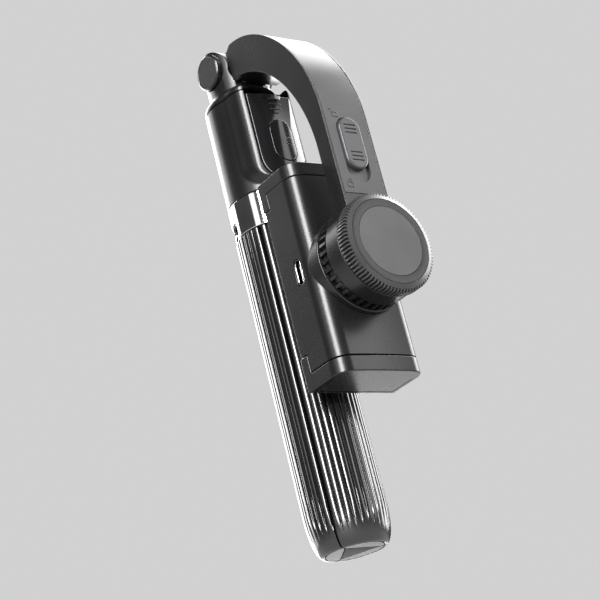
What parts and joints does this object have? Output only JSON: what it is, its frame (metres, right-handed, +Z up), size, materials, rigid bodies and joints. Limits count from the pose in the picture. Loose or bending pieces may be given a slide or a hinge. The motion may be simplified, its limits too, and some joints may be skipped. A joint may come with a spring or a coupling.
{
  "type": "folding phone gimbal",
  "caption": "Folding one-axis phone gimbal with a tripod handle, telescopic rod, clip-out remote control, arched arm, roll motor and sliding phone clamp.",
  "frame": {"origin": "centre of the handle's flat foot, on the end plug's face", "axes": "+Z up along the handle, -Y towards the remote control and the folded phone clamp, +X to the right seen from there"},
  "size_m": [0.036, 0.0704, 0.1905],
  "materials": {
    "gloss_black": "glossy black plastic",
    "satin_black": "satin black plastic",
    "grip_black": "glossy black fluted plastic",
    "shell_grey": "satin dark grey plastic",
    "metal_grey": "satin grey anodised metal",
    "chrome": "polished chrome",
    "foot_silver": "satin light grey plastic",
    "steel": "bright steel",
    "rubber": "matt black rubber",
    "copper": "enamelled copper windings",
    "board_green": "green circuit board",
    "battery_wrap": "grey-blue battery wrap"
  },
  "bodies": {
    "handle": {"leg_hub": "satin_black", "collar_ring": "chrome", "leg_pin_front": "steel", "leg_pin_left": "steel", "leg_pin_right": "steel", "rod_outer_tube": "steel", "head_shell": "shell_grey", "head_cap": "shell_grey"},
    "rod_section_1": {"rod_section_1": "steel"},
    "rod_section_2": {"rod_section_2": "steel"},
    "rod_section_3": {"rod_section_3": "steel"},
    "rod_section_4": {"rod_section_4": "steel"},
    "rod_section_5": {"rod_section_5": "steel", "pan_spindle": "steel"},
    "neck": {"neck": "satin_black", "hinge_pin": "steel", "hinge_cap_left": "metal_grey", "hinge_cap_right": "metal_grey", "tilt_washer_left": "steel", "tilt_washer_right": "steel"},
    "arm": {"arm_frame": "shell_grey", "arm_cover": "metal_grey", "motor_stator": "copper", "motor_bearing_front": "steel", "motor_bearing_rear": "steel"},
    "lock_slider": {"lock_slider": "metal_grey", "lock_pawl": "steel"},
    "clamp": {"motor_shaft": "steel", "rotor_bell": "metal_grey", "knob_cap": "metal_grey", "knob_ring": "gloss_black", "knob_face": "metal_grey", "rotor_tooth_ring": "shell_grey", "clamp_fairing": "shell_grey", "shaft_nut": "steel", "clamp_shell": "shell_grey", "clamp_back_cover": "satin_black", "clamp_pad": "rubber", "clamp_circuit_board": "board_green", "clamp_battery": "battery_wrap", "usb_port": "chrome", "jaw_spring_left": "steel", "jaw_spring_right": "steel"},
    "jaw_upper": {"jaw_upper": "shell_grey"},
    "jaw_lower": {"jaw_lower": "shell_grey"},
    "leg_front": {"leg_front": "grip_black", "foot_pad_front": "foot_silver", "end_plug": "satin_black"},
    "leg_left": {"leg_left": "grip_black", "foot_pad_left": "foot_silver"},
    "leg_right": {"leg_right": "grip_black", "foot_pad_right": "foot_silver"},
    "remote": {"remote_shell": "satin_black", "remote_panel": "gloss_black", "remote_circuit_board": "board_green", "remote_coin_cell": "steel", "remote_switch": "steel"},
    "shutter_button": {"shutter_button": "gloss_black"}
  },
  "joints": [
    {"name": "rod_section_1_slide", "type": "slide", "parent": "handle", "child": "rod_section_1", "axis": [0, 0, 1], "range_m": [0, 0.09]},
    {"name": "rod_section_2_slide", "type": "slide", "parent": "rod_section_1", "child": "rod_section_2", "axis": [0, 0, 1], "range_m": [0, 0.09]},
    {"name": "rod_section_3_slide", "type": "slide", "parent": "rod_section_2", "child": "rod_section_3", "axis": [0, 0, 1], "range_m": [0, 0.09]},
    {"name": "rod_section_4_slide", "type": "slide", "parent": "rod_section_3", "child": "rod_section_4", "axis": [0, 0, 1], "range_m": [0, 0.09]},
    {"name": "rod_section_5_slide", "type": "slide", "parent": "rod_section_4", "child": "rod_section_5", "axis": [0, 0, 1], "range_m": [0, 0.09]},
    {"name": "neck_pan", "type": "hinge", "parent": "rod_section_5", "child": "neck", "pos_m": [0, 0, 0.1699], "axis": [0, 0, 1], "range_deg": [-150, 150]},
    {"name": "arm_tilt", "type": "hinge", "parent": "neck", "child": "arm", "pos_m": [0, 0, 0.1819], "axis": [-1, 0, 0], "range_deg": [0, 180]},
    {"name": "lock_slide", "type": "slide", "parent": "arm", "child": "lock_slider", "axis": [0, 0, -1], "range_m": [0, 0.0043]},
    {"name": "clamp_roll", "type": "hinge", "parent": "arm", "child": "clamp", "pos_m": [0, -0.045, 0.0862], "axis": [0, 1, 0], "range_deg": [-135, 135]},
    {"name": "jaw_upper_slide", "type": "slide", "parent": "clamp", "child": "jaw_upper", "axis": [0, 0, 1], "range_m": [0, 0.014], "stiffness_N_per_m": 150, "springref_m": -0.02},
    {"name": "jaw_lower_slide", "type": "slide", "parent": "clamp", "child": "jaw_lower", "axis": [0, 0, -1], "range_m": [0, 0.014]},
    {"name": "leg_front_swing", "type": "hinge", "parent": "handle", "child": "leg_front", "pos_m": [0, -0.01, 0.1189], "axis": [-1, 0, 0], "range_deg": [0, 60]},
    {"name": "leg_left_swing", "type": "hinge", "parent": "handle", "child": "leg_left", "pos_m": [-0.00866, 0.005, 0.1189], "axis": [0.5, 0.866, 0], "range_deg": [0, 60]},
    {"name": "leg_right_swing", "type": "hinge", "parent": "handle", "child": "leg_right", "pos_m": [0.00866, 0.005, 0.1189], "axis": [0.5, -0.866, 0], "range_deg": [0, 60]},
    {"name": "remote_release", "type": "slide", "parent": "handle", "child": "remote", "axis": [0, -1, 0], "range_m": [0, 0.008]},
    {"name": "shutter_press", "type": "slide", "parent": "remote", "child": "shutter_button", "axis": [0, 1, 0], "range_m": [0, 0.0006], "stiffness_N_per_m": 1500}
  ],
  "couplings": [
    {"joint": "jaw_lower_slide", "follows": "jaw_upper_slide", "ratio": 1},
    {"joint": "leg_front_swing", "follows": "arm_tilt", "ratio": 0.33333},
    {"joint": "leg_left_swing", "follows": "arm_tilt", "ratio": 0.33333},
    {"joint": "leg_right_swing", "follows": "arm_tilt", "ratio": 0.33333}
  ]
}
